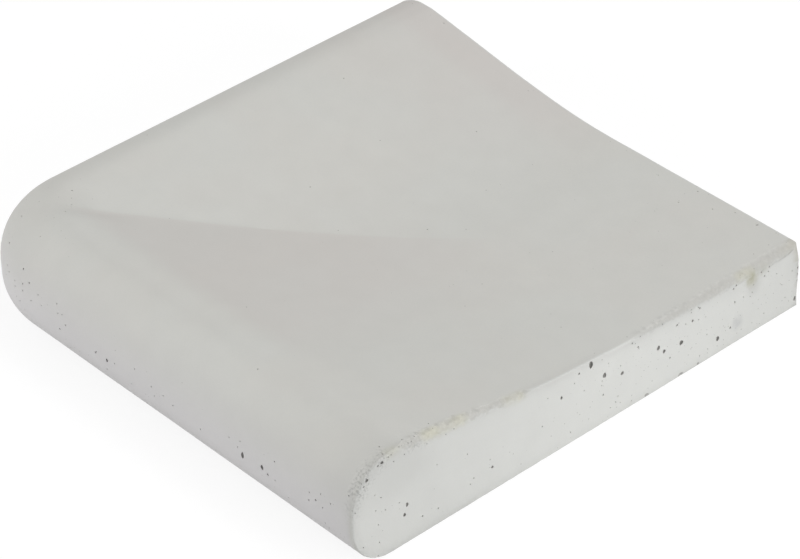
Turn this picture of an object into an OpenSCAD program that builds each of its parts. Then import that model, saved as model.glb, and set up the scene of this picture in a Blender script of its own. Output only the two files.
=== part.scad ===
// Outside corner stone of a pool coping, cast in one piece of concrete.
// The square plan has a raised round nose along its two pool sides, -X and -Y, which
// meet in a rounded outer corner. Behind the nose each side ramps down to a flat slab,
// and the two ramps meet in a valley on the plan's diagonal. The +X and +Y sides are
// plain joint faces that butt against the next stones of the coping.
// The origin is the middle of the plan on the underside, with +Z up.

/* [Plan] */
// Side of the square plan, measured on the underside
side = 300; // [200:5:500]
// Radius in plan of the rounded outer corner
corner_r = 56; // [40:1:90]

/* [Section] */
// Thickness of the flat slab behind the ramps
slab_t = 39; // [25:0.5:46]
// Height of the nose at its crest
crest_h = 57.5; // [56:0.5:68]
// Radius of the nose from its front over the crest
nose_r = 27.5; // [16:0.5:28]
// Radius under the nose, from its front to the underside
belly_r = 23; // [10:0.5:26]
// Slope of the straight part of the ramp, in degrees
ramp_angle = 10; // [8:0.5:14]
// Radius of the hollow sweep that eases the ramp into the slab
sweep_r = 500; // [200:10:800]

/* [Joint faces] */
// Lean of the two joint faces, which lets the stone out of its mould, in degrees
draft = 2; // [0:0.25:4]

/* [Hidden] */
concrete = [0.77, 0.765, 0.745];
$fn = 96;
// Sides of the large sweep circle, which needs more than the small ones
sweep_fn = 256;
// Distance of the corner arc's centre from the plan's middle, along -X and along -Y
corner_c = side / 2 - corner_r;
// Where the round of the crest hands over to the straight ramp
crest_end_x = nose_r + nose_r * sin(ramp_angle);
crest_end_z = crest_h - nose_r * (1 - cos(ramp_angle));
// Where the straight ramp hands over to the hollow sweep
sweep_top_z = slab_t + sweep_r * (1 - cos(ramp_angle));
sweep_top_x = crest_end_x + (crest_end_z - sweep_top_z) / tan(ramp_angle);
// Where the sweep runs out level with the slab
sweep_end_x = sweep_top_x + sweep_r * sin(ramp_angle);

// Upright section across a pool side: X is the distance in from the nose, Y is height.
module section() {
    difference() {
        union() {
            // Straight stretches, with a chord across each round
            polygon([
                [belly_r, 0],
                [side, 0],
                [side, slab_t],
                [sweep_end_x, slab_t],
                [sweep_top_x, sweep_top_z],
                [crest_end_x, crest_end_z],
                [0, crest_h - nose_r],
                [0, belly_r],
            ]);
            // Underside round of the nose
            translate([belly_r, belly_r]) circle(r = belly_r);
            // Upper round of the nose, over the crest
            translate([nose_r, crest_h - nose_r]) circle(r = nose_r);
        }
        // Hollow sweep from the ramp to the slab
        translate([sweep_end_x, slab_t + sweep_r])
            circle(r = sweep_r, $fn = sweep_fn);
    }
}

// Pool side along -Y: the section drawn out from the corner arc to the +X face, and
// mitred on the plan's diagonal.
module pool_side() {
    intersection() {
        translate([-corner_c, -side / 2, 0])
            rotate([90, 0, 90])
                linear_extrude(height = side - corner_r) section();
        linear_extrude(height = 2 * crest_h)
            polygon([[-side, -side], [side, -side], [side, side]]);
    }
}

// Outer corner: the part of the section outside the corner's centre, turned through
// a quarter circle.
module outer_corner() {
    translate([-corner_c, -corner_c, 0])
        rotate([0, 0, 180])
            rotate_extrude(angle = 90)
                intersection() {
                    translate([corner_r, 0]) mirror([1, 0]) section();
                    square([corner_r, crest_h]);
                }
}

// What the draft takes off the +X face, hinged on that face's lower edge.
module draft_cut() {
    translate([side / 2, -side, 0])
        rotate([0, -draft, 0])
            cube([side / 4, 2 * side, 2 * crest_h]);
}

module coping_stone() {
    color(concrete)
        difference() {
            union() {
                pool_side();
                mirror([1, -1, 0]) pool_side();
                outer_corner();
            }
            draft_cut();
            mirror([1, -1, 0]) draft_cut();
        }
}

coping_stone();
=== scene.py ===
# %% [markdown]
# # A corner stone of a pool coping
# The object is one block of cast concrete: a square corner stone from the rim of a pool.
# Two neighbouring sides carry a raised round nose for the hands of a swimmer, the other
# two are plain joint faces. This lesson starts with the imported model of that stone, which
# is exact but bare, and builds the stone as it came out of its mould.

# %% Load the frame
import math

import bpy
from mathutils import Matrix, Vector
from mathutils.bvhtree import BVHTree


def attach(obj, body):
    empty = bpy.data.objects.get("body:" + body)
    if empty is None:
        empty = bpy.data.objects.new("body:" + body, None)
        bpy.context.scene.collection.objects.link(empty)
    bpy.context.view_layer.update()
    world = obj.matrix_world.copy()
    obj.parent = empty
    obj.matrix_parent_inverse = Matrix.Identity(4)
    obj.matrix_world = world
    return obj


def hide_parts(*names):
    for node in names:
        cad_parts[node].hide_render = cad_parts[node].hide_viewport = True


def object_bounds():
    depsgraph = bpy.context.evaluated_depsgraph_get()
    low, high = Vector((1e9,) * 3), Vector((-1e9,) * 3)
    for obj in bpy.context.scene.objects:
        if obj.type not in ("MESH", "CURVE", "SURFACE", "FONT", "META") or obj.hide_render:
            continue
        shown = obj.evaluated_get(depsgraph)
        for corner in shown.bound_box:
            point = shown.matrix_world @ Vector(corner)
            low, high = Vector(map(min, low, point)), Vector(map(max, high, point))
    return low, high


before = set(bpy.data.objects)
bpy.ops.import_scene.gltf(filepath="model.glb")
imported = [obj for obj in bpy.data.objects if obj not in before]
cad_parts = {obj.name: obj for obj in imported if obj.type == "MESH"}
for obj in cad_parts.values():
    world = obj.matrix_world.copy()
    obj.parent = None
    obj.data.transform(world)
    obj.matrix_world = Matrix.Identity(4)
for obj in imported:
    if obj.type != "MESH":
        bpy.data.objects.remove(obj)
cad_box = [list(corner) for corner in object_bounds()]
cad_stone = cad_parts["coping_stone"]
print("box of the stone, in metres:", cad_box)

# %% [markdown]
# ## The sizes of the stone
# The side, the height, the thickness of the slab and the lean of the joint faces are
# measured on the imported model, so they can't drift from it. The radii and the slope are
# those of the maker's drawing. Later cells measure the new surface against the model.

# %% Sizes
MM = 0.001
cad_points = [vertex.co for vertex in cad_stone.data.vertices]
top_corner = max(cad_points, key=lambda point: point.x + point.y + point.z)
side = cad_box[1][0] - cad_box[0][0]
SIZES = {
    "Side": side,
    "Crest height": cad_box[1][2],
    "Slab thickness": top_corner.z,
    "Nose radius": 27.5 * MM,
    "Belly radius": 23 * MM,
    "Ramp angle": math.radians(10),
    "Sweep radius": 500 * MM,
    "Corner radius": 56 * MM,
    "Draft": math.atan2(side / 2 - top_corner.x, top_corner.z),
}
for name, size in SIZES.items():
    if name in ("Ramp angle", "Draft"):
        print(f"{name}: {math.degrees(size):.2f} degrees")
    else:
        print(f"{name}: {size / MM:.1f} mm")

# %% [markdown]
# ## Writing node trees as arithmetic
# Shapes and finishes are both made by node trees here. Wiring dozens of Math nodes by
# hand hides the formula, so a small class wraps a socket and lets Python's own operators
# add the nodes. One method adds any other node: settings first, then its sockets.

# %% A tree
class Graph:
    """A node tree, and the one method that adds a node to it."""

    def __init__(self, tree):
        self.tree = tree

    def add(self, kind, settings=None, sockets=None, out=0):
        node = self.tree.nodes.new(kind)
        for name, value in (settings or {}).items():
            setattr(node, name, value)
        for key, value in (sockets or {}).items():
            socket = self.find(node.inputs, key)
            if isinstance(value, list):
                for wire in value:
                    self.tree.links.new(wire.socket, socket)
            elif isinstance(value, Wire):
                self.tree.links.new(value.socket, socket)
            else:
                socket.default_value = value
        return Wire(self, self.find(node.outputs, out)) if node.outputs else None

    @staticmethod
    def find(sockets, key):
        if isinstance(key, int):
            return sockets[key]
        return next(s for s in sockets if s.name == key and s.enabled)


# %% [markdown]
# ## Wires that can be reckoned with
# A wire is what comes out of a node. `1 - wire * 2` needs the reflected forms of the
# operators too, for the cases where the plain number stands first. Two named steps come
# back again and again: a smooth rise from nothing to one, and a band with soft ends.

# %% Its wires
class Wire:
    """An output socket. Arithmetic on it adds Math nodes to its tree."""

    def __init__(self, graph, socket):
        self.graph = graph
        self.socket = socket

    def other(self, out):
        """Another output of the same node."""
        return Wire(self.graph, Graph.find(self.socket.node.outputs, out))

    def math(self, operation, *values):
        sockets = dict(enumerate((self, *values)))
        return self.graph.add("ShaderNodeMath", {"operation": operation}, sockets)

    def flipped(self, operation, value):
        sockets = {0: value, 1: self}
        return self.graph.add("ShaderNodeMath", {"operation": operation}, sockets)

    def __add__(self, value):
        return self.math("ADD", value)

    def __sub__(self, value):
        return self.math("SUBTRACT", value)

    def __rsub__(self, value):
        return self.flipped("SUBTRACT", value)

    def __mul__(self, value):
        return self.math("MULTIPLY", value)

    def __truediv__(self, value):
        return self.math("DIVIDE", value)

    def __pow__(self, value):
        return self.math("POWER", value)

    __radd__ = __add__
    __rmul__ = __mul__

    def least(self, value):
        return self.math("MINIMUM", value)

    def most(self, value):
        return self.math("MAXIMUM", value)

    def within(self, low, high):
        return self.most(low).least(high)

    def below(self, value):
        return self.math("LESS_THAN", value)

    def above(self, value):
        return self.math("GREATER_THAN", value)

    def rise(self, low, high):
        """Nothing up to `low`, one from `high` on, and a smooth step between them."""
        sockets = {"Value": self, "From Min": low, "From Max": high}
        return self.graph.add("ShaderNodeMapRange", {"interpolation_type": "SMOOTHSTEP"}, sockets)

    def band(self, low, high, soft):
        """One from `low` to `high`, all in millimetres, with ends `soft` wide."""
        start = self.rise((low - soft / 2) * MM, (low + soft / 2) * MM)
        return start - self.rise((high - soft / 2) * MM, (high + soft / 2) * MM)

    def vector(self, operation, *values):
        """Vector maths. A wire that carries a single number is the scale."""
        sockets = {0: self}
        for value in values:
            is_scale = isinstance(value, Wire) and value.socket.type == "VALUE"
            sockets["Scale" if is_scale else 1] = value
        return self.graph.add("ShaderNodeVectorMath", {"operation": operation}, sockets)

    def sin(self):
        return self.math("SINE")

    def cos(self):
        return self.math("COSINE")


# %% [markdown]
# ## The section, as a walk round its outline
# A pool side has one section: flat underside, round belly, short upright front, round
# nose over the crest, straight ramp, hollow sweep, flat slab. Each stretch is simple on
# its own, so the outline is written as a walk. How far the walk has gone along a stretch,
# held between nothing and the stretch's length, says what that stretch adds to the
# distance in from the pool side and to the height.

# %% The walk
def straight_stretches(size):
    """The lengths of the upright front and of the ramp, which the rounds leave between them."""
    slope = size["Ramp angle"]
    nose = size["Nose radius"]
    front = size["Crest height"] - nose - size["Belly radius"]
    lost = (1 - slope.cos()) * (nose + size["Sweep radius"])
    fall = size["Crest height"] - size["Slab thickness"] - lost
    return front, fall / slope.sin()


def walk(gone, size):
    """Distance in and height after walking `gone` up (or down) from the top of the belly."""
    slope = size["Ramp angle"]
    nose = size["Nose radius"]
    belly = size["Belly radius"]
    sweep = size["Sweep radius"]
    front, ramp = straight_stretches(size)
    over = nose * (slope + math.pi / 2)
    hollow = sweep * slope

    down = (0 - gone).within(0, belly * (math.pi / 2)) / belly
    under = (0 - gone - belly * (math.pi / 2)).most(0)
    up = gone.within(0, front)
    turn = (gone - front).within(0, over) / nose
    along = (gone - front - over).within(0, ramp)
    left = slope - (gone - front - over - ramp).within(0, hollow) / sweep
    flat = (gone - front - over - ramp - hollow).most(0)

    inward = belly * (1 - down.cos()) + under + nose * (1 - turn.cos())
    inward = inward + along * slope.cos() + sweep * (slope.sin() - left.sin()) + flat
    height = belly * (1 - down.sin()) + up + nose * turn.sin()
    height = height - along * slope.sin() - sweep * (left.cos() - slope.cos())
    return inward, height


def walk_ends(size):
    """Where the walk reaches the joint faces, below and above, and the upper 45 degree points."""
    slope = size["Ramp angle"]
    nose = size["Nose radius"]
    belly = size["Belly radius"]
    sweep = size["Sweep radius"]
    front, ramp = straight_stretches(size)
    sweep_end = nose * (1 + slope.sin()) + ramp * slope.cos() + sweep * slope.sin()
    top = front + nose * (slope + math.pi / 2) + ramp + sweep * slope
    top = top + size["Side"] - sweep_end
    bottom = 0 - belly * (math.pi / 2) - size["Side"] + belly
    return bottom, 0 - belly * (math.pi / 4), front + nose * (math.pi / 4), top, sweep_end


# %% [markdown]
# ## The body of the stone
# A box with a fine grid on its six faces is bent into the stone. Two of its upright
# sides wrap round the nose, the other two become the joint faces. Every grid point gets
# a place in the section of each pool side. The nearer pool side gives its height, which
# makes the valley where the two ramps meet, and near the outer corner the two distances
# turn into a radius and an angle, which rounds the plan.

# %% Bend a box into the stone
def between(low, high, share):
    """What lies a share of the way from `low` to `high`."""
    return low + (high - low) * share


def section_point(across, upward, size):
    """A grid point's place in one side's section: distance in, and height."""
    bottom, low, high, top, _ = walk_ends(size)
    under = walk(between(low, bottom, across), size)
    over = walk(between(high, top, across), size)
    front = walk(between(low, high, upward), size)
    belly_start = walk(low, size)
    nose_start = walk(high, size)
    place = []
    for axis in (0, 1):
        plain = between(under[axis], over[axis], upward)
        bulge = front[axis] - between(belly_start[axis], nose_start[axis], upward)
        place.append(plain + bulge * (1 - across))
    return place


def bent_box(graph, size, plan_cells, upright_cells):
    """The box whose grid points are moved to their places on the stone."""
    box = graph.add(
        "GeometryNodeMeshCube",
        None,
        {
            "Size": (1, 1, 1),
            "Vertices X": plan_cells + 1,
            "Vertices Y": plan_cells + 1,
            "Vertices Z": upright_cells + 1,
        },
    )
    place = graph.add("ShaderNodeSeparateXYZ", None, {0: graph.add("GeometryNodeInputPosition")})
    share = [place.other(axis) + 0.5 for axis in "XYZ"]

    in_x, height_x = section_point(share[0], share[2], size)
    in_y, height_y = section_point(share[1], share[2], size)
    x_is_nearer = in_x.below(in_y)
    height = between(height_y, height_x, x_is_nearer)

    radius = size["Corner radius"]
    past_x = (radius - in_x).most(0)
    past_y = (radius - in_y).most(0)
    ring = past_x.most(past_y)
    angle = past_x.least(past_y) / ring.most(1e-9) * (math.pi / 4)
    y_leads = past_x.below(past_y)
    along_x = between(angle.cos(), angle.sin(), y_leads)
    along_y = between(angle.sin(), angle.cos(), y_leads)

    sweep_end = walk_ends(size)[4]
    lean = height * size["Draft"].math("TANGENT")
    new_place = []
    for inward, along in ((in_x, along_x), (in_y, along_y)):
        straight = (inward - radius).most(0)
        share_of_lean = ((inward - sweep_end) / (size["Side"] - sweep_end)).most(0)
        new_place.append(radius - size["Side"] / 2 + straight - ring * along - lean * share_of_lean)
    target = graph.add(
        "ShaderNodeCombineXYZ", None, {0: new_place[0], 1: new_place[1], 2: height}
    )
    return graph.add("GeometryNodeSetPosition", None, {"Geometry": box, "Position": target})


# %% [markdown]
# ## How worn the stone is
# The sizes above are what the mould had. These numbers say what casting and use did to
# the stone: how uneven its skin is, how far the plain arrises are rubbed off and in what
# grain, and how close and how small the pores are. They become inputs of the tree too,
# so that a fresher or an older stone is only a change of numbers.

# %% Wear
WEAR = {
    "Unevenness": 0.3 * MM,
    "Trowel marks": 0.5 * MM,
    "Arris": 0.6 * MM,
    "Grain": 0.9 * MM,
    "Ragged": 0.7,
    "Pore distance": 2.2 * MM,
    "Smallest pore": 0.35 * MM,
    "Chipped share": 0.05,
}
print("wear:", {name: round(value, 5) for name, value in WEAR.items()})

# %% [markdown]
# ## Not quite straight
# Concrete comes out of its mould a little uneven, and the side that was trowelled by hand,
# here the underside, is rougher. So the surface moves inwards by a slow noise of a few
# tenths of a millimetre. Then it swells where this stone does: the slab stands a touch
# proud, one ramp is fuller towards its joint and has a higher crown further along, the
# other ramp is a little fuller, and the upright arris is fullest at mid height.

# %% Let the surface settle
# The most that each swelling stands out, in millimetres.
SLAB_PROUD = 0.4
RAMP_FULLER = 2.3
OTHER_RAMP_FULLER = 0.6
CROWN_HIGHER = 1.4
UPRIGHT_ARRIS_FULLER = 0.8
# What the swellings must leave free below the crest, so that the height stays true.
ROOM_LEFT = 0.15


def here(graph):
    """Where a point is, and its three coordinates on their own."""
    place = graph.add("GeometryNodeInputPosition")
    split = graph.add("ShaderNodeSeparateXYZ", None, {0: place})
    return place, split.other("X"), split.other("Y"), split.other("Z")


def noise(graph, place, patch, detail=1.0, rough=0.5):
    """Smooth random numbers from 0 to 1, in patches about `patch` metres across."""
    sockets = {"Vector": place, "Scale": 1 / patch, "Detail": detail, "Roughness": rough}
    return graph.add("ShaderNodeTexNoise", None, sockets)


def moved(graph, geometry, offset):
    """Every point of a geometry shifted by an offset."""
    return graph.add("GeometryNodeSetPosition", None, {"Geometry": geometry, "Offset": offset})


def settle(graph, body, size, wear):
    """The body with its skin uneven and its swellings raised."""
    place = graph.add("GeometryNodeInputPosition")
    outward = graph.add("GeometryNodeInputNormal")
    facing = graph.add("ShaderNodeSeparateXYZ", None, {0: outward}).other("Z")
    dent = wear["Unevenness"] * noise(graph, place, 70 * MM)
    dent = dent + wear["Trowel marks"] * noise(graph, place, 14 * MM) * facing.below(-0.9)
    body = moved(graph, body, outward.vector("SCALE", 0 - dent))

    _, x, y, z = here(graph)
    edge = size["Side"] / 2
    proud = x.least(y).rise(5 * MM, 45 * MM) * SLAB_PROUD * MM
    to_joint = (x - edge).rise(-110 * MM, -1 * MM)
    fuller = y.rise(-130 * MM, -70 * MM) * (1 - y.rise(2 * MM, 42 * MM))
    fuller = fuller * to_joint * RAMP_FULLER * MM
    crown = y.rise(-130 * MM, -108 * MM) - y.rise(-108 * MM, -84 * MM)
    crown = crown * (x - y).rise(0, 15 * MM) * (1 - to_joint)
    other = x.rise(-140 * MM, -105 * MM) * (1 - x.rise(-45 * MM, 0))
    other = other * (y - edge).rise(-120 * MM, -1 * MM) * OTHER_RAMP_FULLER * MM
    height = (z / size["Slab thickness"]).within(0, 1) ** 2
    room = (size["Crest height"] - ROOM_LEFT * MM - z).most(0)
    lift = ((proud + fuller + other + crown * CROWN_HIGHER * MM) * height).least(room)

    out = (z.rise(4 * MM, 26 * MM) - z.rise(28 * MM, 39 * MM)) * UPRIGHT_ARRIS_FULLER * MM
    out = out * (x + y - edge * 2).rise(-22 * MM, -2 * MM)
    shift = graph.add("ShaderNodeCombineXYZ", None, {0: out, 1: out, 2: lift})
    return moved(graph, body, shift)


print("fullest swellings of the ramps:", RAMP_FULLER, "and", OTHER_RAMP_FULLER, "mm")

# %% [markdown]
# ## Broken arrises
# An arris of cast concrete is never sharp: the paste wears away in grains. The grid's
# sharp edges are picked by the angle of their faces and become curves. A tool with a
# hollow front runs along each and leaves a rounded arris behind, as a plasterer's
# nosing trowel does. How far it reaches over both faces varies: one top arris is torn
# along its ramp and worn down at its far end. Noise makes the tool rough, the more the
# further it reaches. The tools are cut away later, with all the others.

# %% Where the arrises are
# A fold this sharp is an arris.
SHARP = math.radians(50)
# Millimetres: how near the front face its arris lies, and the height that parts the top
# arris from the ones below it.
NEAR_FRONT = 8
ABOVE_NOSE = 28


def written_on(graph, geometry, name, value, kind="FLOAT"):
    """Writes a value on every point of a geometry, under a name."""
    settings = {"data_type": kind, "domain": "POINT"}
    sockets = {"Geometry": geometry, "Name": name, "Value": value}
    return graph.add("GeometryNodeStoreNamedAttribute", settings, sockets)


def read_off(graph, name, kind="FLOAT"):
    """What was written on the points under a name."""
    return graph.add("GeometryNodeInputNamedAttribute", {"data_type": kind}, {"Name": name})


def arris_paths(graph, body, wear):
    """The sharp edges as curves, each point knowing the way out of the stone."""
    outward = graph.add("GeometryNodeInputNormal")
    marked = written_on(graph, body, "way_out", outward, "FLOAT_VECTOR")
    angle = graph.add("GeometryNodeInputMeshEdgeAngle", out="Unsigned Angle")
    sharp = angle.above(SHARP)
    paths = graph.add("GeometryNodeMeshToCurve", None, {"Mesh": marked, "Selection": sharp})
    return graph.add(
        "GeometryNodeResampleCurve", {"mode": "LENGTH"}, {"Curve": paths, "Length": wear["Grain"]}
    )


def spoiled(graph, size):
    """Three stretches of the front joint face's arris: round the nose, torn, and worn."""
    _, x, y, z = here(graph)
    way_out = graph.add("ShaderNodeSeparateXYZ", None, {0: read_off(graph, "way_out", "FLOAT_VECTOR")})
    front = x.above(size["Side"] / 2 - NEAR_FRONT * MM) * way_out.above(0.45)
    front = front * way_out.other("Y").below(0.4)
    top = front * z.above(ABOVE_NOSE * MM)
    nose = front * (1 - y.rise(-118 * MM, -108 * MM)) * z.rise(4 * MM, 14 * MM)
    torn = y.band(-116, -66, 10) + y.band(-66, -37, 8) * 0.75
    worn = y.rise(18 * MM, 66 * MM) * 0.65 + y.rise(70 * MM, 110 * MM) * 0.45
    return nose, top * torn, top * worn * (1 - y.rise(138 * MM, 150 * MM) * 0.4)


print(f"an arris is a fold of more than {math.degrees(SHARP):.0f} degrees")

# %% [markdown]
# ## The tool that rounds an arris
# Its section is a quarter circle, hollow side to the stone, and the distance it reaches
# over the faces is the scale of the section. The tool runs a little past both ends of its
# path, so that no sliver stays at a corner, and every tool becomes an instance of its
# own, because the cut takes instances one by one.

# %% Tools along the arrises
# How far the tool reaches where an arris is torn, worn, or rubbed round the nose, in
# millimetres, on top of what every arris has lost.
TORN_REACH = 3.6
WORN_REACH = 4.4
NOSE_REACH = 0.6
# How far a tool runs past the ends of its path, in millimetres.
PAST_ENDS = 3
# Points round the hollow, and how far out its last point goes, for a hollow of radius 1.
SECTION_STEPS = 9
WELL_OUT = 4.0


def hollow_section(graph):
    """A quarter circle seen from outside, closed by one point well outside the stone."""
    arc = graph.add(
        "GeometryNodeCurveArc",
        {"mode": "RADIUS"},
        {
            "Resolution": SECTION_STEPS,
            "Radius": 1.0,
            "Start Angle": math.radians(45),
            "Sweep Angle": math.radians(-90),
            "Connect Center": True,
        },
    )
    outside = graph.add("GeometryNodeInputIndex").above(SECTION_STEPS - 0.5)
    shift = graph.add("ShaderNodeCombineXYZ", None, {0: outside * WELL_OUT - math.sqrt(2)})
    return moved(graph, arc, shift)


def arris_tools(graph, paths, size, wear):
    """One long tool for every arris, in instances."""
    place = graph.add("GeometryNodeInputPosition")
    nose, torn, worn = spoiled(graph, size)
    reach = torn * TORN_REACH * MM + worn * WORN_REACH * MM + nose * NOSE_REACH * MM
    reach = reach * (0.6 + noise(graph, place, 7 * MM, 2.0) * 0.8) + wear["Arris"]
    sized = written_on(graph, paths, "reach", reach * (0.85 + noise(graph, place, 3 * MM) * 0.3))

    along = graph.add("GeometryNodeInputTangent")
    way_out = read_off(graph, "way_out", "FLOAT_VECTOR")
    turned = graph.add(
        "GeometryNodeSetCurveNormal", {"mode": "FREE"}, {"Curve": sized, "Normal": way_out}
    )
    gone = graph.add("GeometryNodeSplineParameter", out="Factor")
    past_ends = (gone.above(0.9999) - gone.below(0.0001)) * PAST_ENDS * MM
    longer = moved(graph, turned, along.vector("SCALE", past_ends))
    tools = graph.add(
        "GeometryNodeCurveToMesh",
        None,
        {
            "Curve": longer,
            "Profile Curve": hollow_section(graph),
            "Scale": read_off(graph, "reach"),
            "Fill Caps": True,
        },
    )
    place, _, y, _ = here(graph)
    ripple = (noise(graph, place, 2.6 * MM, 3.0, 0.6) - 0.5) * read_off(graph, "reach")
    ripple = ripple * (1 - y.rise(0, 40 * MM) * 0.6)
    rough = moved(
        graph, tools, graph.add("GeometryNodeInputNormal").vector("SCALE", ripple * wear["Ragged"])
    )
    island = graph.add("GeometryNodeInputMeshIsland", out="Island Index")
    return graph.add(
        "GeometryNodeSplitToInstances",
        {"domain": "FACE"},
        {"Geometry": written_on(graph, rough, "torn", 1.0), "Group ID": island},
    )


print("reach where torn, worn, rubbed:", TORN_REACH, WORN_REACH, NOSE_REACH, "mm")

# %% [markdown]
# ## Lumpy balls
# Air bubbles caught against the mould leave round pits. Each is cut with a ball, and real
# bubbles are never true, so there are a few shapes of ball: stretched, dented by noise and
# kept as instances to pick from. Every tool also writes what it makes on its own points,
# here a pit and the share of painted shade inside it. The cut keeps that mark, and the
# finish can read it.

# %% Lumpy balls
# How much each shape is stretched along its three axes.
BALLS = [(1, 1, 1), (1, 0.8, 1.3), (1.3, 0.9, 0.8), (0.8, 1.1, 1), (1, 1.2, 0.9)]
# In radians.
FULL_TURN = 6.28
# The size and the depth of the dents, for a ball of radius 1.
DENT_PATCH = 1.1
DENT_DEPTH = 0.9
print("shapes of ball:", len(BALLS))


def lumpy_balls(graph, fineness, shapes, dark):
    """A few unit balls, each stretched and dented its own way, as instances to pick from."""
    balls = []
    for number, stretch in enumerate(shapes):
        ball = graph.add(
            "GeometryNodeMeshIcoSphere", None, {"Radius": 1.0, "Subdivisions": fineness}
        )
        place = graph.add("GeometryNodeInputPosition")
        # Each ball reads the noise at a place of its own, so no two have the same dents.
        shifted = place.vector("ADD", (number * 7.0, 3.0, 5.0))
        dent = (noise(graph, shifted, DENT_PATCH) - 0.5) * DENT_DEPTH
        ball = moved(graph, ball, place.vector("NORMALIZE").vector("SCALE", dent))
        ball = graph.add("GeometryNodeTransform", None, {"Geometry": ball, "Scale": stretch})
        # How dark the pit is painted: painted shade inside it.
        ball = written_on(graph, ball, "pit", dark)
        ball = written_on(graph, ball, "torn", 1.0 - dark)
        balls.append(graph.add("GeometryNodeGeometryToInstance", None, {"Geometry": ball}))
    return graph.add("GeometryNodeJoinGeometry", None, {"Geometry": balls})


def random_number(graph, low, high, seed, kind="FLOAT"):
    """A number, or a turn, between two limits, and its own for each point."""
    sockets = {"Min": low, "Max": high, "Seed": seed}
    return graph.add("FunctionNodeRandomValue", {"data_type": kind}, sockets)


def placed_balls(graph, points, balls, radius, seed):
    """One ball on each point, turned at random and scaled to its radius."""
    turn = random_number(graph, (0, 0, 0), (FULL_TURN,) * 3, seed, "FLOAT_VECTOR")
    shape = random_number(graph, 0, len(BALLS), seed + 1, "INT")
    return graph.add(
        "GeometryNodeInstanceOnPoints",
        None,
        {
            "Points": points,
            "Instance": balls,
            "Pick Instance": True,
            "Instance Index": shape,
            "Rotation": turn,
            "Scale": radius,
        },
    )


# %% [markdown]
# ## Pores
# Bubbles rise and cling to upright mould walls, so the joint faces have most, the low
# part of the noses fewer and the top almost none. Points are scattered with a least
# distance between them, and a slow noise gathers them into swarms, as in real concrete.
# A random number to a high power makes most pores small and a few large. The front
# joint face gets only small ones here, since its large ones are set one by one further on.
# Each ball is sunk a little below the skin, or its pit would be too shallow.

# %% Scattered pores
# The most pores that a square metre could have.
DENSEST = 45000.0
# How much larger than the smallest a pore may be, in millimetres, on the noses, on the
# far joint face and on the underside.
NOSE_LARGEST = 0.4
FAR_LARGEST = 1.0
BED_LARGEST = 1.0
# How deep a scattered pore's ball is sunk, as a share of its radius.
SUNK_SCATTERED = 0.35


def pore_tools(graph, body, size, wear, balls, to_arris):
    """A ball for every scattered pore."""
    normal = graph.add("GeometryNodeInputNormal")
    place, x, y, z = here(graph)
    facing = graph.add("ShaderNodeSeparateXYZ", None, {0: normal})
    front = facing.other("X").above(0.9)
    far = facing.other("Y").above(0.9)
    bed = facing.other("Z").below(-0.9)
    nose = x.least(y).below(0 - size["Side"] / 2 + 24 * MM) * z.below(38 * MM) * (1 - bed)
    # The front joint face has fewest by its nose, and the outer corner a few low down.
    front_share = front * (0.12 + y.rise(-70 * MM, 40 * MM) * 0.88)
    corner = (x + y).below(-205 * MM) * z.rise(4 * MM, 12 * MM) * 0.12
    # Grains torn out of the skin leave a dense patch on the nose's shoulder, by its end.
    shoulder = x.above(140 * MM) * (1 - y.rise(-95 * MM, -78 * MM)) * z.rise(26 * MM, 38 * MM)
    shoulder = shoulder * (1 - to_arris.rise(4 * MM, 9 * MM))
    # All of these together are each point's share of the densest that pores could be.
    swarm = noise(graph, place, 30 * MM, 2.0).rise(0.38, 0.62)
    share = (front_share + far * 0.9 + nose * 0.8) * (0.35 + swarm) + bed * 0.3 + corner + 0.01
    share = share * 0.2 + shoulder * 0.9
    points = graph.add(
        "GeometryNodeDistributePointsOnFaces",
        {"distribute_method": "POISSON"},
        {
            "Mesh": body,
            "Distance Min": wear["Pore distance"],
            "Density Max": DENSEST,
            "Density Factor": share.least(1),
            "Seed": 11,
        },
    )
    # A scattered point has no normal of its own, so the faces are told by place here.
    on_far = y.above(size["Side"] / 2 - 3 * MM)
    on_bed = z.below(1 * MM)
    largest = nose * NOSE_LARGEST * MM + on_far * FAR_LARGEST * MM + on_bed * BED_LARGEST * MM
    luck = random_number(graph, 0.0, 1.0, seed=21) ** 3.5
    stored = written_on(graph, points, "radius", wear["Smallest pore"] + largest * luck)
    radius = read_off(graph, "radius")
    sunk = points.other("Normal").vector("SCALE", radius * -SUNK_SCATTERED)
    return placed_balls(graph, moved(graph, stored, sunk), balls, radius, seed=31)


print(f"pores to a square metre, at the most: {DENSEST:.0f}")

# %% [markdown]
# ## Chips
# The same kind of ball, set on the arrises, knocks small chips out of them. They are dense
# where the arris is already torn, worn or rubbed, and rare elsewhere.

# %% Chips on the arrises
# The distance between the places where a chip may be, the smallest radius of a chip and
# how much larger it may be, in millimetres.
CHIP_STEP = 2
CHIP_SMALLEST = 0.4
CHIP_RANGE = 1.3


def chip_tools(graph, paths, size, wear, balls):
    """A ball for every chip along the arrises."""
    sockets = {"Curve": paths, "Length": CHIP_STEP * MM}
    points = graph.add("GeometryNodeCurveToPoints", {"mode": "LENGTH"}, sockets)
    nose, torn, worn = spoiled(graph, size)
    chance = wear["Chipped share"] + nose * 0.4 + torn * 0.4 + worn * 0.15
    luck = random_number(graph, 0.0, 1.0, seed=41) ** 3
    sized = written_on(graph, points, "radius", luck * CHIP_RANGE * MM + CHIP_SMALLEST * MM)
    radius = read_off(graph, "radius")
    # A chip's ball stands a little proud of the arris, and further in where that is gone.
    outwards = radius * 0.4 - torn * 1.5 * MM - worn * 1.6 * MM - nose * 0.6 * MM
    offset = read_off(graph, "way_out", "FLOAT_VECTOR").vector("SCALE", outwards)
    spared = random_number(graph, 0.0, 1.0, seed=43) - chance
    kept = graph.add(
        "GeometryNodeDeleteGeometry",
        {"domain": "POINT"},
        {"Geometry": moved(graph, sized, offset), "Selection": spared.above(0)},
    )
    return placed_balls(graph, kept, balls, radius, seed=47)


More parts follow.
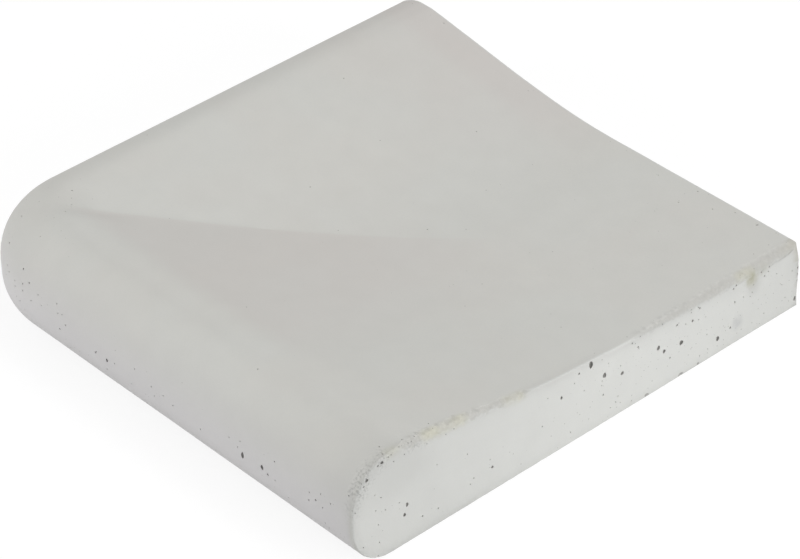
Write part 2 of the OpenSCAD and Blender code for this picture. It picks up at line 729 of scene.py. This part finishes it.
print(f"chips: {CHIP_SMALLEST:.1f} to {CHIP_SMALLEST + CHIP_RANGE:.1f} mm in radius")

# %% [markdown]
# ## Large pores of the front joint face
# A scatter can't know where this very stone has its largest pores, and these are what
# the eye remembers. They are set one by one, to the millimetre: along the face, up it,
# the radius, and how much taller than wide the bubble is.

# %% Pores of the front joint face
FRONT_PORES = [
    (-147.5, 47.0, 0.7, 1.0),
    (-148.5, 42.0, 0.6, 1.0),
    (-139.5, 49.0, 1.1, 0.8),
    (-141.5, 46.5, 0.6, 1.0),
    (-132.5, 53.5, 0.7, 1.0),
    (-130.0, 54.0, 1.0, 0.9),
    (-126.0, 55.0, 0.5, 1.0),
    (-118, 17, 0.9, 1.2),
    (-116, 22, 0.8, 1.6),
    (-107, 10, 0.6, 1.0),
    (-97, 9, 0.5, 1.0),
    (-74, 14, 0.5, 1.0),
    (-62, 14, 0.8, 1.0),
    (-29, 20, 0.5, 1.0),
    (-16, 30, 0.8, 1.3),
    (-4, 38, 0.7, 1.0),
    (4, 39, 1.2, 1.9),
    (12, 17, 0.6, 1.2),
    (13, 28, 1.2, 1.3),
    (25, 23, 1.1, 1.0),
    (32, 37, 0.6, 1.0),
    (36, 33, 0.6, 1.0),
    (50, 25, 1.1, 1.3),
    (54, 21, 0.9, 1.3),
    (58, 15, 0.6, 1.0),
    (63, 32, 0.7, 1.0),
    (66, 20, 1.3, 1.1),
    (74, 29, 0.8, 1.0),
    (79, 34, 0.6, 1.0),
    (92, 9, 1.0, 1.5),
    (101, 11, 0.7, 1.2),
    (73, 36, 0.5, 1.0),
    (78, 35, 0.5, 1.0),
    (104, 25, 0.5, 1.6),
    (103, 33.5, 0.6, 1.0),
    (105, 34.5, 0.6, 1.0),
    (123, 33.5, 0.5, 1.0),
    (125.5, 30, 0.6, 1.0),
    (128, 31.5, 0.5, 1.0),
    (129, 34, 0.5, 1.4),
]
print("pores set on the joint face:", len(FRONT_PORES))

# %% [markdown]
# ## Large pores of the nose
# The nose beside that face has its own, in the same four numbers: along the nose, up it,
# the radius, and how much taller than wide.

# %% Pores of the nose
NOSE_PORES = [
    (-95, 20, 0.5, 1.0),
    (-95, 32, 0.5, 1.0),
    (-80, 31, 0.4, 1.0),
    (-74, 36, 0.5, 1.5),
    (-67, 33, 0.5, 1.0),
    (-66, 24, 0.6, 1.0),
    (-61, 29, 0.5, 1.0),
    (-38, 25, 0.6, 1.0),
    (-29, 25, 0.8, 1.3),
    (5, 28, 0.5, 1.0),
    (72, 25, 1.1, 1.9),
    (86, 26, 1.0, 1.5),
    (90, 24, 0.7, 1.0),
    (119, 26, 0.6, 1.0),
    (124, 29, 0.6, 1.0),
]
print("pores set on the nose:", len(NOSE_PORES))

# %% [markdown]
# ## Knocks and flakes
# Knocks are dents on the arrises, the slab and the crown of the noses, paler inside than
# a pore: across, along, up, the radius, and how much longer than wide. A flake is a broad
# shallow piece that broke off an arris, cut by a flattened ball: its middle and its three
# radii.

# %% Knocks and flakes
KNOCKS = [
    (149.0, -150, 31, 0.8, 1.3),
    (148.5, -40, 45, 0.8, 1.2),
    (149.0, -10, 42, 0.6, 1.0),
    (150.0, 42, 1, 0.9, 2.4),
    (150.0, 66, 1, 0.9, 3.0),
    (150.0, 78, 1, 0.8, 1.5),
    (149.5, 148, 5, 1.1, 1.0),
    (149.5, 149, 16, 0.5, 1.0),
    (149.5, 149, 20, 0.5, 1.0),
    (149.5, 149, 24, 0.6, 1.0),
    (84, 145, 39.3, 0.45, 1.0),
    (84, 131, 39.3, 0.45, 1.0),
    (100, 139, 39.3, 0.45, 1.0),
    (110, 145, 39.3, 0.4, 1.0),
    (125, 145, 39.3, 0.5, 1.8),
    (60, 141, 39.5, 0.5, 1.0),
    (-117, -99, 56.8, 0.4, 1.0),
    (-108.5, -106, 56.3, 0.45, 1.8),
    (-104.5, -113, 56.8, 0.4, 1.0),
    (-99, -133.5, 55, 0.4, 1.0),
    (-116.5, -140, 45, 0.5, 1.0),
    (-111.5, -146, 37, 0.4, 1.0),
    (-97, -146.5, 42.5, 0.5, 1.0),
    (-90.5, -148.5, 38.5, 0.5, 1.0),
    (20, -142, 4, 1.6, 1.4),
    (95, -143, 3, 1.3, 1.6),
]
FLAKES = [
    ((151.5, 113, 38.0), (4.0, 7.5, 6.0)),
    ((151.5, 127, 36.5), (3.0, 5.5, 6.0)),
    ((151.0, -104, 56.5), (3.0, 5.0, 2.6)),
    ((151.0, -91, 53.0), (2.4, 4.0, 3.4)),
    ((151.0, -76, 50.0), (2.2, 5.0, 3.0)),
    ((149.5, -135, 54.0), (1.8, 3.5, 2.0)),
    ((149.8, -147, 46.0), (1.8, 1.8, 3.6)),
]
print("knocks:", len(KNOCKS), "flakes:", len(FLAKES))

# %% [markdown]
# ## Balls for all of these
# Each list becomes balls of its own kind. Small pores get a coarser and paler ball, as
# little light is lost in them. A pore's ball sits a quarter of its radius below the
# skin, and each is turned a little by its own place, so that no two look alike.

# %% Pores and knocks, one by one
# Below this radius, in millimetres, a pore counts as small.
SMALL_PORE = 0.75
# How deep a pore's ball is sunk, as a share of its radius.
SUNK = 0.25


def one_ball(graph, balls, place, stretch, turn):
    """One ball at a place in millimetres, stretched to its radii and turned."""
    sockets = {
        "Geometry": balls,
        "Translation": tuple(number * MM for number in place),
        "Rotation": turn,
        "Scale": tuple(number * MM for number in stretch),
    }
    return graph.add("GeometryNodeTransform", None, sockets)


def one_by_one(graph):
    """The balls of the four lists."""
    bubble = lumpy_balls(graph, 3, BALLS[:1], 1.0)
    small_bubble = lumpy_balls(graph, 2, BALLS[:1], 0.65)
    knock = lumpy_balls(graph, 3, BALLS[1:2], 0.6)
    flake = lumpy_balls(graph, 4, BALLS[:1], 0.0)
    half = SIZES["Side"] / MM / 2
    flare = math.tan(SIZES["Draft"])
    tools = []
    for along, up, radius, tall in FRONT_PORES:
        place = (half - up * flare - radius * SUNK, along, up)
        stretch = (radius, radius, radius * tall)
        ball = small_bubble if radius < SMALL_PORE else bubble
        tools.append(one_ball(graph, ball, place, stretch, (0.3 * math.sin(along), 0, along)))
    for along, up, radius, tall in NOSE_PORES:
        place = (along, radius * SUNK - half, up)
        stretch = (radius, radius, radius * tall)
        ball = small_bubble if radius < SMALL_PORE else bubble
        tools.append(one_ball(graph, ball, place, stretch, (0, 0.4 * math.sin(up), along)))
    for across, along, up, radius, long in KNOCKS:
        stretch = (radius, radius * long, radius)
        turn = (0.3 * math.sin(along), 0, 0.3 * math.sin(across))
        tools.append(one_ball(graph, knock, (across, along, up), stretch, turn))
    for middle, radii in FLAKES:
        tools.append(one_ball(graph, flake, middle, radii, (0, 0, 0)))
    return tools


print("balls set by hand:", sum(map(len, (FRONT_PORES, NOSE_PORES, KNOCKS, FLAKES))))

# %% [markdown]
# ## The finish of cast concrete
# Pale grey cement paste, smooth where it met the mould. Its colour drifts a little from
# place to place, with a fine grain of sand. Where an arris is broken, the surface is
# rougher and holds dirt, and inside a pore it is painted with shade and some dirt, so the
# finish reads how far a point lies below the cast skin, which the tree writes on the mesh.
# It is laid on in coats, as a painter would: the paste with painted light and shade in its
# tone, painted shade, dirt and painted shade, raw breaks, stains, and pores with painted
# shade last. Each coat is a colour and a mask, and most masks are rises and bands along
# the stone's own axes.

# %% What the finish reads
concrete = bpy.data.materials.new("pale_concrete")
concrete.use_nodes = True
finish = Graph(concrete.node_tree)
shader = concrete.node_tree.nodes["Principled BSDF"]
place = finish.add("ShaderNodeTexCoord", out="Object")
split = finish.add("ShaderNodeSeparateXYZ", None, {0: place})
x = split.other("X")
y = split.other("Y")
z = split.other("Z")


def written(name):
    """A number that the tree wrote on the mesh."""
    return finish.add("ShaderNodeAttribute", {"attribute_name": name}, out="Fac")


def tinted(below, above, share):
    """The colour `above` laid over the colour `below` by a share from 0 to 1."""
    settings = {"data_type": "RGBA", "blend_type": "MIX"}
    return finish.add("ShaderNodeMix", settings, {"Factor": share, "A": below, "B": above}, "Result")


def toned(colour, tone):
    """The colour made lighter or darker by a number near 1."""
    grey = finish.add("ShaderNodeCombineXYZ", None, {0: tone, 1: tone, 2: tone})
    return colour.vector("MULTIPLY", grey)


depth = written("depth")
arris = written("arris")
pitted = written("pit")
torn = written("torn")
cloud = noise(finish, place, 60 * MM, 2.0)
patch = noise(finish, place, 14 * MM, 2.0)
crumb = noise(finish, place, 2.5 * MM, 2.0)
sand = noise(finish, place, 0.9 * MM, 2.0)

# How far a point lies behind the front joint face, and behind the nearer of the two. Then
# masks: the front one's arris zone, the top of that, the front one's skin, the skin of
# both, and the noses.
lean = z * math.tan(SIZES["Draft"])
behind_front = SIZES["Side"] / 2 - lean - x
behind = behind_front.least(SIZES["Side"] / 2 - lean - y)
front = 1 - behind_front.rise(3 * MM, 6 * MM)
top = front * z.above(28 * MM)
face = 1 - behind_front.rise(0.3 * MM, 1.5 * MM)
joint = 1 - behind.rise(0.3 * MM, 1.5 * MM)
pool_side = 1 - x.least(y).rise(-130 * MM, -108 * MM)
print("nodes that read the stone:", len(concrete.node_tree.nodes))

# %% [markdown]
# ## The paste
# Two greys, hardly apart, drift in clouds. The paste is cooler and a little pink low on
# the noses, and whiter on the joint faces. Then the tone is set: it drifts with the
# patches and with the grain of the sand. Painted light and shade make it fall slowly across
# the top, lighter at the outer corner and darker at the far one, and on the front joint
# face painted light makes it highest in the middle, with painted shade towards the nose.

# %% The paste
PASTE = (0.584, 0.578, 0.548, 1)
PASTE_CLOUDED = (0.578, 0.578, 0.550, 1)
PASTE_LOW = (0.574, 0.565, 0.566, 1)
PASTE_JOINT = (0.588, 0.592, 0.572, 1)
paste = tinted(PASTE, PASTE_CLOUDED, cloud.rise(0.35, 0.65))
low = pool_side * (1 - z.rise(18 * MM, 57 * MM)) * behind.rise(0.5 * MM, 5 * MM)
paste = tinted(paste, PASTE_LOW, low)
paste = tinted(paste, PASTE_JOINT, joint)
tone = 1 + (patch - 0.5) * 0.06 + (cloud - 0.5) * 0.04 + (sand - 0.5) * 0.05
# Painted light and shade across the top: lighter towards the outer corner, darker towards the far one.
tone = tone - (x + y) * (1 - pool_side) * (1 - joint) * 0.08
# Painted light: the front joint face lighter in its middle.
tone = tone + face * y.band(-30, 95, 90) * 0.06
# Painted shade: the front joint face darker towards the nose.
tone = tone - face * (1 - y.rise(-115 * MM, -45 * MM)) * 0.035
paste = toned(paste, tone)
print("colours of the paste:", PASTE[:3], PASTE_JOINT[:3])

# %% [markdown]
# ## Painted shade on the skin
# Painted shade darkens some stretches of the skin: the ramp on one side of the mitre, the
# far end of the other ramp, the crown of the outer corner, and one nose towards its joint,
# which is also painted lighter low by the outer corner. The first two are also a little pink.

# %% Painted shade on the skin
# The pink grey of the painted shade, and how much of it is laid on.
PAINTED_SHADE_PINK = (0.535, 0.472, 0.457, 1)
PAINTED_SHADE_SHARE = 0.2
# Painted shade with a pink cast: the ramp beside the mitre, and the far end of the other ramp.
mitre_and_far_shade = (x - y).rise(-1.5 * MM, 1.5 * MM) * y.rise(-114 * MM, -98 * MM)
mitre_and_far_shade = mitre_and_far_shade * (1 - y.rise(0, 60 * MM)) * (1 - x.rise(20 * MM, 90 * MM))
far_end_shade = y.rise(50 * MM, 110 * MM) * 0.6 + y.rise(118 * MM, 136 * MM) * 1.0
far_end_shade = far_end_shade * (1 - x.rise(-45 * MM, 30 * MM))
# Painted shade on the crown of the outer corner.
outer_crown_shade = (x + y).rise(-245 * MM, -225 * MM) * (1 - (x + y).rise(-215 * MM, -195 * MM))
outer_crown_shade = outer_crown_shade * (1 - (x - y).math("ABSOLUTE").rise(5 * MM, 35 * MM)) * z.rise(52 * MM, 55 * MM)
mitre_and_far_shade = (mitre_and_far_shade + far_end_shade) * (1 - joint) * z.rise(18 * MM, 34 * MM)
paste = tinted(paste, PAINTED_SHADE_PINK, mitre_and_far_shade * PAINTED_SHADE_SHARE)
paste = toned(paste, 1 - outer_crown_shade * 0.03)

nose_y = 1 - y.rise(-128 * MM, -112 * MM)
# Painted shade on one nose, deeper towards its joint, its front end and its crest, and painted light
# low by the outer corner.
nose_light_and_shade = x.rise(50 * MM, 140 * MM) * 0.03 + (1 - behind_front.rise(2 * MM, 32 * MM)) * 0.045
nose_light_and_shade = nose_light_and_shade + z.rise(48 * MM, 57 * MM) * 0.015
nose_light_and_shade = nose_light_and_shade - (1 - x.rise(-95 * MM, -60 * MM)) * (1 - z.rise(28 * MM, 38 * MM)) * 0.03
paste = toned(paste, 1 - nose_y * (1 - face) * nose_light_and_shade)
# The colour of the painted shade.
print("colour of the dull skin:", PAINTED_SHADE_PINK[:3])

# %% [markdown]
# ## Dirt and painted shade
# Along the arrises of the front joint face the paste is darker. Handling leaves dirt
# along the whole length and on the upright arris at the far end; the face by the nose's
# end carries painted shade, and the band below the worn top arris is dirt and painted
# shade together. It is written as a share that darkens the paste: first a mask for each
# stretch, then the sum of them, each with its own strength. The distance to the nearest
# arris is made fuzzy, so that no stretch ends in a clean line. Below the top arris the face
# greys slowly towards it, and round the shoulder of the nose the dirt sits in grains,
# darker and paler than the skin.

# %% Dirt and painted shade along the arrises
fuzzy = arris + (crumb - 0.5) * 4 * MM
speck = noise(finish, place, 1.3 * MM, 2.0)

# The nose's end: darker on the skin beside the arris, painted shade on the face above it,
# and darker past the nose.
nose_end = 1 - y.rise(-112 * MM, -92 * MM)
skin_side = behind_front.rise(0.1 * MM, 0.8 * MM) * (1 - behind_front.rise(7 * MM, 13 * MM))
beside_nose = nose_end * skin_side * (1 - fuzzy.rise(0.5 * MM, 7 * MM))
nose_face = (1 - y.rise(-118 * MM, -85 * MM)) * face * z.rise(22 * MM, 44 * MM)
past_nose = (1 - y.rise(-90 * MM, -60 * MM)) * face * (1 - fuzzy.rise(0, 9 * MM))

# The whole length, but hardly on the worn top, which stays nearly as clean as the slab.
worn_top = y.rise(0, 30 * MM) * (1 - (SIZES["Slab thickness"] - z).rise(-0.4 * MM, 1.2 * MM))
cleaner = worn_top * (1 - y.rise(80 * MM, 105 * MM)) * 0.8
whole_length = front * (1 - fuzzy.rise(0.5 * MM, 6 * MM)) * (1 - cleaner)
near_top = (1 - arris.rise(0, 14 * MM)) * z.rise(14 * MM, 26 * MM) * y.rise(-100 * MM, -80 * MM)
near_top = near_top * face * (0.025 + y.rise(10 * MM, 50 * MM) * 0.035)

# The worn far half: dirt and painted shade in a band that grows wider, and dirt on the
# upright arris at its end.
below_top = SIZES["Slab thickness"] + 0.3 * MM - z + (crumb - 0.5) * 3 * MM
below_top = below_top / (0.4 + y.rise(30 * MM, 125 * MM) * 0.6)
worn_band = below_top.rise(-0.5 * MM, 1 * MM) * (1 - below_top.rise(2.8 * MM, 6.2 * MM))
worn_band = top * worn_band * y.rise(22 * MM, 50 * MM) * (1 - y.rise(138 * MM, 146 * MM))
upright = front * y.rise(142 * MM, 148 * MM) * (1 - fuzzy.rise(-0.5 * MM, 2.5 * MM))

# The share that darkens the paste: dirt, with painted shade on the face by the nose's end and in the
# worn band.
dirt_and_shade = beside_nose * 0.035 + nose_face * 0.065 + past_nose * 0.03 + whole_length * 0.05
dirt_and_shade = dirt_and_shade + near_top + worn_band * 0.11 + upright * 0.12
shoulder = nose_end * front.most(skin_side) * (1 - fuzzy.rise(3 * MM, 9 * MM))
shoulder = shoulder * z.rise(24 * MM, 44 * MM) * patch.rise(0.35, 0.6)
grit = speck.rise(0.55, 0.63) * 0.08 - (1 - speck.rise(0.37, 0.46)) * 0.2
paste = toned(paste, 1 - dirt_and_shade + shoulder * grit)
print("nodes up to the dirt:", len(concrete.node_tree.nodes))

# %% [markdown]
# ## Raw breaks and stains
# Where an arris is torn or worn, the raw paste shows darker and speckled. Some of these
# breaks are stained cream and olive, and the far corner a greyish brown. A few soft
# smudges lie on the face itself: each is a place, a reach in millimetres, a colour and a
# strength.

# %% Raw breaks and stains
RAW_PASTE = (0.45, 0.445, 0.42, 1)
CREAM = (0.545, 0.535, 0.43, 1)
OLIVE = (0.38, 0.37, 0.28, 1)
CORNER_STAIN = (0.42, 0.39, 0.31, 1)
raw = torn * depth.rise(0, 0.4 * MM) * (1 - nose_y * 0.5)
raw = raw * (1 - worn_top * 0.85)
paste = tinted(paste, RAW_PASTE, raw * (0.35 + crumb * 0.7))
paste = toned(paste, 1 + torn * (speck - 0.5) * (1 - worn_top * 0.7) * 0.25)

cream = y.band(-127, -118, 6) * 0.5 + y.band(-104, -77, 8) + y.band(-53, -40, 6)
cream = (cream + y.band(106, 118, 5) * 0.7) * (1 - fuzzy.rise(1 * MM, 6 * MM))
cream = cream * (0.4 + patch.rise(0.3, 0.55) * 0.6) * top
paste = tinted(paste, CREAM, cream * 0.65)
paste = tinted(paste, OLIVE, cream * crumb.rise(0.48, 0.68) * 0.55)
corner = top * y.rise(134 * MM, 147 * MM) * (1 - fuzzy.rise(1 * MM, 6 * MM))
paste = tinted(paste, CORNER_STAIN, corner * 0.3)

SMUDGES = [
    ((150, 106, 11.5), 6, (0.46, 0.465, 0.465, 1), 0.7),
    ((150, 118, 28), 8, (0.46, 0.46, 0.44, 1), 0.55),
    ((150, 125, 35), 6, (0.42, 0.415, 0.37, 1), 0.6),
    ((150, 116, 33), 6.5, (0.36, 0.35, 0.25, 1), 0.85),
]
for middle, reach, colour, share in SMUDGES:
    gap = place.vector("DISTANCE", tuple(number * MM for number in middle)).other("Value")
    smudge = 1 - (gap + (crumb - 0.5) * 4 * MM).rise(0, reach * MM)
    paste = tinted(paste, colour, smudge * front * share)
print("smudges:", len(SMUDGES))

# %% [markdown]
# ## Pinholes and pits
# The smallest pores are too small to model. One ball sits somewhere in every cell of a
# loose grid and is seen where the surface happens to cut it, so pinholes come in all
# widths. Few cells hold one: most on the joint faces, fewer low on the noses. Pinholes
# and the pits of the modelled pores are both dark inside: painted shade, with some dirt.

# %% Pinholes and pits
PIT_SHADE = (0.16, 0.155, 0.145, 1)
CELL = 2.2 * MM
cells = finish.add(
    "ShaderNodeTexVoronoi", {"feature": "F1"}, {"Vector": place, "Scale": 1 / CELL}, "Distance"
)
chance = finish.add("ShaderNodeSeparateColor", None, {0: cells.other("Color")})
hole_size = (0.10 + chance ** 2 * 0.26) * MM / CELL
far = 1 - (SIZES["Side"] / 2 - lean - y).rise(3 * MM, 6 * MM)
joint_share = front.most(far) * (0.12 + y.rise(-70 * MM, 30 * MM) * 0.68)
nose_share = behind.rise(2 * MM, 6 * MM) * (1 - z.rise(26 * MM, 44 * MM)) * 0.5
corner_share = (x + y).below(-205 * MM) * 0.25
holed = chance.other("Green").below(joint_share.most(nose_share).most(corner_share) + 0.01)
pinhole = holed * (1 - (cells / hole_size).rise(0.6, 1.1))
# Painted shade, with some dirt, inside the modelled pits and the pinholes.
pit = (pitted * depth.rise(0.02 * MM, 0.25 * MM)).most(pinhole * 0.8)
paste = tinted(paste, PIT_SHADE, pit * 0.7)
print(f"cells of the pinholes: {CELL / MM:.1f} mm")

# %% [markdown]
# ## Relief and sheen
# Sand, the finest crumbs and the pinholes stand as a slight bump. Cast concrete is matt,
# a little more so inside a pit. The three varying values go to the shader's own sockets,
# and how weakly it mirrors is one number all over.

# %% Relief and sheen
RELIEF = {"Strength": 0.35, "Distance": 0.15 * MM}
MATT = 0.82
MIRRORING = 0.35
bump = sand * 0.5 + noise(finish, place, 0.35 * MM, 1.0) * 0.3 + patch * 0.3 - pinhole
grain = finish.add("ShaderNodeBump", None, {**RELIEF, "Height": bump})
rough = MATT + (patch - 0.5) * 0.1 + pit * 0.1
for name, wire in (("Base Color", paste), ("Roughness", rough), ("Normal", grain)):
    concrete.node_tree.links.new(wire.socket, shader.inputs[name])
shader.inputs["Specular IOR Level"].default_value = MIRRORING
print("finish nodes:", len(concrete.node_tree.nodes))

# %% [markdown]
# ## The whole stone
# One tree now runs from the bent box to the finished mesh. All the tools are taken away
# in one cut. The depth below the cast skin and the distance to the nearest arris are
# measured from the uncut body and written on the points, and edges sharper than a soft
# fold are kept crisp. Its sizes are named inputs, and every random choice has a seed.

# %% Helpers of the tree
def cast_in(graph, geometry):
    """Gives the concrete to everything in a geometry."""
    sockets = {"Geometry": geometry, "Material": concrete}
    return graph.add("GeometryNodeSetMaterial", None, sockets)


def on_mitre(graph):
    """One for the edges that lie along the mitre, where the two ramps meet."""
    ends = graph.add("GeometryNodeInputMeshEdgeVertices", out="Position 1")
    close = 1
    for end in (ends, ends.other("Position 2")):
        split = graph.add("ShaderNodeSeparateXYZ", None, {0: end})
        gap = (split.other("X") - split.other("Y")).math("ABSOLUTE")
        close = gap.below(0.02 * MM) * close
    return close


# %% [markdown]
# ## The order of work in the tree
# Body first, then its arrises, then all the tools, then one cut. Folds are kept crisp
# only where they are sharper than the grain of the cast skin, and along the mitre.

# %% The tree of the stone
# Folds sharper than these stay crisp: anywhere, and along the mitre.
CRISP = math.radians(32)
CRISP_MITRE = math.radians(2)


def stone_tree(plan_cells, upright_cells):
    tree = bpy.data.node_groups.new("coping stone", "GeometryNodeTree")
    graph = Graph(tree)
    for name, value in {**SIZES, **WEAR}.items():
        socket = tree.interface.new_socket(name, in_out="INPUT", socket_type="NodeSocketFloat")
        socket.default_value = value
    tree.interface.new_socket("Geometry", in_out="OUTPUT", socket_type="NodeSocketGeometry")
    first = graph.add("NodeGroupInput")
    size = {name: first.other(name) for name in SIZES}
    wear = {name: first.other(name) for name in WEAR}

    body = settle(graph, bent_box(graph, size, plan_cells, upright_cells), size, wear)
    body = graph.add(
        "GeometryNodeTriangulate", {"quad_method": "LONGEST_DIAGONAL"}, {"Mesh": body}
    )
    paths = arris_paths(graph, body, wear)
    wires = graph.add("GeometryNodeCurveToMesh", None, {"Curve": paths})
    to_arris = graph.add(
        "GeometryNodeProximity", {"target_element": "EDGES"}, {"Geometry": wires}, "Distance"
    )
    bubbles = lumpy_balls(graph, 2, BALLS, 1.0)
    tools = [
        arris_tools(graph, paths, size, wear),
        chip_tools(graph, paths, size, wear, lumpy_balls(graph, 2, BALLS, 0.4)),
        pore_tools(graph, body, size, wear, bubbles, to_arris),
        *one_by_one(graph),
    ]
    tools = graph.add("GeometryNodeJoinGeometry", None, {"Geometry": tools})
    cut = graph.add(
        "GeometryNodeMeshBoolean",
        {"operation": "DIFFERENCE", "solver": "MANIFOLD"},
        {"Mesh 1": body, "Mesh 2": tools},
        "Mesh",
    )
    skin = graph.add(
        "GeometryNodeProximity", {"target_element": "FACES"}, {"Geometry": body}, "Distance"
    )
    marked = written_on(graph, written_on(graph, cut, "depth", skin), "arris", to_arris)
    angle = graph.add("GeometryNodeInputMeshEdgeAngle", out="Unsigned Angle")
    valley = angle.above(CRISP_MITRE) * on_mitre(graph)
    folded = angle.above(CRISP).most(valley)
    soft = graph.add("GeometryNodeSetShadeSmooth", {"domain": "FACE"}, {"Geometry": marked})
    crisp = graph.add(
        "GeometryNodeSetShadeSmooth",
        {"domain": "EDGE"},
        {"Geometry": soft, "Selection": folded, "Shade Smooth": False},
    )
    plain = graph.add("GeometryNodeRemoveAttribute", None, {"Geometry": crisp, "Name": "way_out"})
    whole = graph.add("GeometryNodeRealizeInstances", None, {"Geometry": plain})
    graph.add("NodeGroupOutput", None, {"Geometry": cast_in(graph, whole)})
    return tree


# %% [markdown]
# ## From tree to mesh
# The tree runs as a modifier on an empty mesh. Each input is set by its identifier, the
# result is copied out as a plain mesh, and the modifier goes. The grid has cells of
# 2 to 3 mm, fine enough for the sweep and the noses.

# %% Make the stone
PLAN_CELLS = 112
UPRIGHT_CELLS = 22


def run_tree(name, tree, inputs):
    """Runs a tree as a modifier on an empty mesh and keeps the result as a plain mesh."""
    piece = bpy.data.objects.new(name, bpy.data.meshes.new(name))
    bpy.context.scene.collection.objects.link(piece)
    modifier = piece.modifiers.new(name, "NODES")
    modifier.node_group = tree
    for item in tree.interface.items_tree:
        if item.in_out == "INPUT" and item.name in inputs:
            modifier[item.identifier] = inputs[item.name]
    evaluated = piece.evaluated_get(bpy.context.evaluated_depsgraph_get())
    mesh = bpy.data.meshes.new_from_object(evaluated)
    material = next(slot for slot in mesh.materials if slot)
    mesh.materials.clear()
    mesh.materials.append(material)
    mesh.polygons.foreach_set("material_index", [0] * len(mesh.polygons))
    piece.modifiers.clear()
    piece.data = mesh
    return piece


stone = run_tree("cast_stone", stone_tree(PLAN_CELLS, UPRIGHT_CELLS), {**SIZES, **WEAR})
stone.data.calc_loop_triangles()
print("stone:", len(stone.data.vertices), "points,", len(stone.data.loop_triangles), "triangles")
print("attributes:", [attribute.name for attribute in stone.data.attributes])
print("materials:", [material.name for material in stone.data.materials])

# %% [markdown]
# ## How far it strays
# The imported model is the true size, and this piece should stay close to it. The nearest
# distance from every point to the imported surface shows the deepest pore or the fullest
# swelling, whichever is larger. Then the imported stone is hidden, and the piece is set to
# move with the root body.

# %% Measure against the imported model
cad_surface = BVHTree.FromPolygons(
    cad_points, [polygon.vertices for polygon in cad_stone.data.polygons]
)
gaps = [cad_surface.find_nearest(vertex.co)[3] for vertex in stone.data.vertices]
print(f"largest gap to the packed model: {max(gaps) / MM:.3f} mm")

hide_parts("coping_stone")
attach(stone, "root")

# %% [markdown]
# ## The floor
# A plain pale sheet under the stone. To the rays that show a background it glows a
# little, so that it reads as white. To all other rays it is matt paper, which keeps the
# stone's shadow and throws plain light back up at it.

# %% Floor
WHITE = (1, 1, 1, 1)
PAPER = (0.8, 0.8, 0.8, 1)
# How much of the floor is glow where it is seen as background, and how strong that is.
GLOW_SHARE = 0.8
FLOOR_GLOW = 1.08
FLOOR_SIDE = 60

bpy.ops.mesh.primitive_plane_add(size=FLOOR_SIDE)
floor = bpy.context.object
floor.name = "floor"
paper = bpy.data.materials.new("floor_paper")
paper.use_nodes = True
ground = Graph(paper.node_tree)
ground.tree.nodes.clear()


def shown(graph):
    """One for the rays that show a background: straight, mirrored and through glass."""
    rays = graph.add("ShaderNodeLightPath", out="Is Camera Ray")
    return rays.most(rays.other("Is Glossy Ray")).most(rays.other("Is Transmission Ray"))


matt = ground.add("ShaderNodeBsdfDiffuse", None, {"Color": PAPER})
glow = ground.add("ShaderNodeEmission", None, {"Color": WHITE, "Strength": FLOOR_GLOW})
glowing = shown(ground) * GLOW_SHARE
mixed = ground.add("ShaderNodeMixShader", None, {0: glowing, 1: matt, 2: glow})
ground.add("ShaderNodeOutputMaterial", None, {"Surface": mixed})
floor.data.materials.append(paper)
print("floor:", FLOOR_SIDE, "m")

# %% [markdown]
# ## The sky
# An even grey dome lights the stone softly from all sides. Seen directly it is white, by
# the same rule as the floor.

# %% World
DOME = 0.46
world = bpy.data.worlds.new("studio")
bpy.context.scene.world = world
world.use_nodes = True
sky = Graph(world.node_tree)
sky.tree.nodes.clear()
strength = DOME + shown(sky) * (1 - DOME)
back = sky.add("ShaderNodeBackground", None, {"Color": WHITE, "Strength": strength})
sky.add("ShaderNodeOutputWorld", None, {"Surface": back})
print("dome light:", DOME)

# %% [markdown]
# ## Three soft boxes
# Pale concrete shows its shape only by small steps of tone. A low broad lamp on the side
# of the front joint face makes that face the brightest, one from above the far side
# keeps the slab a little darker, and one before the pool side lifts the round noses.

# %% Lamps
# How far the lamps stand from the stone, their side, and the height they aim at.
LAMP_DISTANCE = 3.0
LAMP_SIDE = 1.5
AIM = 30 * MM


def soft_lamp(name, azimuth, elevation, power):
    """A square soft box that faces the stone from a compass direction."""
    data = bpy.data.lights.new(name, "AREA")
    data.energy = power
    data.size = LAMP_SIDE
    lamp = bpy.data.objects.new(name, data)
    bpy.context.scene.collection.objects.link(lamp)
    turn = Matrix.Rotation(math.radians(azimuth), 3, "Z")
    turn = turn @ Matrix.Rotation(math.radians(90 - elevation), 3, "X")
    lamp.matrix_world = turn.to_4x4()
    lamp.location = turn @ Vector((0, 0, LAMP_DISTANCE)) + Vector((0, 0, AIM))
    print(f"{name} lamp: {power} W from {azimuth} degrees round, {elevation} up")
    return lamp


soft_lamp("key", 95, 18, 36.4)
soft_lamp("top", 140, 60, 29.8)
soft_lamp("fill", 330, 15, 36.2)

# %% [markdown]
# ## The camera
# It looks down on the corner between the front joint face and a pool side, from some
# distance, through a long lens, so that lines which run away hardly converge. It stands
# off along its own axis, a little beside the line through the stone's middle.

# %% Camera
LENS = 163.8
# Degrees: round the stone, down on it, and the slight roll of a camera held by hand.
ROUND = 48.106
DOWN = 36.256
ROLL = -1.158
STAND_OFF = (11.75 * MM, 10.43 * MM, 1844.2 * MM)

scene = bpy.context.scene
camera = bpy.data.objects.new("camera", bpy.data.cameras.new("camera"))
scene.collection.objects.link(camera)
scene.camera = camera
camera.data.lens = LENS
turn = Matrix.Rotation(math.radians(ROUND), 3, "Z")
turn = turn @ Matrix.Rotation(math.radians(90 - DOWN), 3, "X")
turn = turn @ Matrix.Rotation(math.radians(ROLL), 3, "Z")
camera.matrix_world = turn.to_4x4()
camera.location = turn @ Vector(STAND_OFF)
scene.view_settings.view_transform = "Standard"
print("camera at", [round(number, 3) for number in camera.location])
